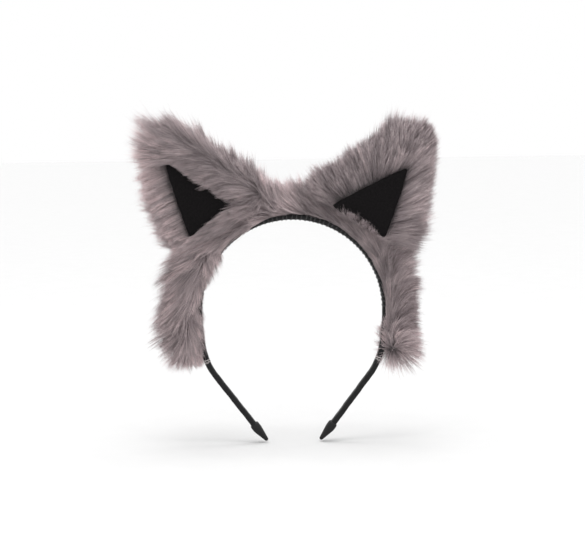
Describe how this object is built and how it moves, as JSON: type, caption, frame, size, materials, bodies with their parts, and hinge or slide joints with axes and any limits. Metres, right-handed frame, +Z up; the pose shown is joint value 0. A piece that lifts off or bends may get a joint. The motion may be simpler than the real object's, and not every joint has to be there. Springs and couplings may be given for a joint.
{
  "type": "animal ears headband",
  "caption": "Spring headband sleeved in black satin, with a grey faux fur strip, side tufts and two felt-lined fur ears that tilt.",
  "frame": {"origin": "centre of the arch that sits on the head, in the mid-plane of the band", "axes": "+Z up to the crown, front of the ears towards -Y, +X to the right as seen from the front"},
  "size_m": [0.211, 0.0298, 0.224],
  "materials": {
    "spring_plastic": "moulded black spring strip, matte",
    "satin": "charcoal satin ribbon sleeve, soft sheen",
    "cap_rubber": "matte black moulded cap with a fine grain",
    "strip_fur": "warm grey long pile faux fur, paler at the tips",
    "ear_front_fur": "warm grey long pile faux fur, paler at the tips",
    "ear_back_fur": "warm grey long pile faux fur, paler at the tips",
    "felt": "pressed black felt, matte and slightly fuzzy",
    "wadding": "white polyester wadding",
    "wire": "soft drawn wire",
    "dark_thread": "twisted charcoal thread",
    "pale_thread": "twisted pale grey thread",
    "grey_thread": "twisted grey thread"
  },
  "bodies": {
    "crown": {"hoop_crown": "spring_plastic", "sleeve_crown": "satin", "fur_crown": "strip_fur"},
    "left_arm": {"hoop_left_arm": "spring_plastic", "sleeve_left_arm": "satin", "end_cap_left": "cap_rubber", "fur_left_side": "strip_fur", "whip_stitches_left": "dark_thread", "end_tack_left": "pale_thread", "ear_stitches_left": "grey_thread"},
    "right_arm": {"hoop_right_arm": "spring_plastic", "sleeve_right_arm": "satin", "end_cap_right": "cap_rubber", "fur_right_side": "strip_fur", "whip_stitches_right": "dark_thread", "end_tack_right": "pale_thread", "ear_stitches_right": "grey_thread"},
    "left_ear": {"ear_front_fur_left": "ear_front_fur", "ear_back_fur_left": "ear_back_fur", "ear_felt_left": "felt", "ear_wadding_left": "wadding", "ear_wire_left": "wire"},
    "right_ear": {"ear_front_fur_right": "ear_front_fur", "ear_back_fur_right": "ear_back_fur", "ear_felt_right": "felt", "ear_wadding_right": "wadding", "ear_wire_right": "wire"}
  },
  "joints": [
    {"name": "left_arm_flex", "type": "hinge", "parent": "crown", "child": "left_arm", "pos_m": [-0.01257, 0, 0.06469], "axis": [0, 1, 0], "range_deg": [0, 8], "stiffness_Nm_per_rad": 1.3},
    {"name": "right_arm_flex", "type": "hinge", "parent": "crown", "child": "right_arm", "pos_m": [0.01257, 0, 0.06469], "axis": [0, -1, 0], "range_deg": [0, 8], "stiffness_Nm_per_rad": 1.3},
    {"name": "left_ear_tilt", "type": "hinge", "parent": "left_arm", "child": "left_ear", "pos_m": [-0.04015, 0, 0.05734], "axis": [0.8192, 0, 0.5736], "range_deg": [-20, 20]},
    {"name": "right_ear_tilt", "type": "hinge", "parent": "right_arm", "child": "right_ear", "pos_m": [0.04015, 0, 0.05734], "axis": [0.8192, 0, -0.5736], "range_deg": [-20, 20]}
  ],
  "couplings": [
    {"joint": "right_arm_flex", "follows": "left_arm_flex", "ratio": 1}
  ]
}
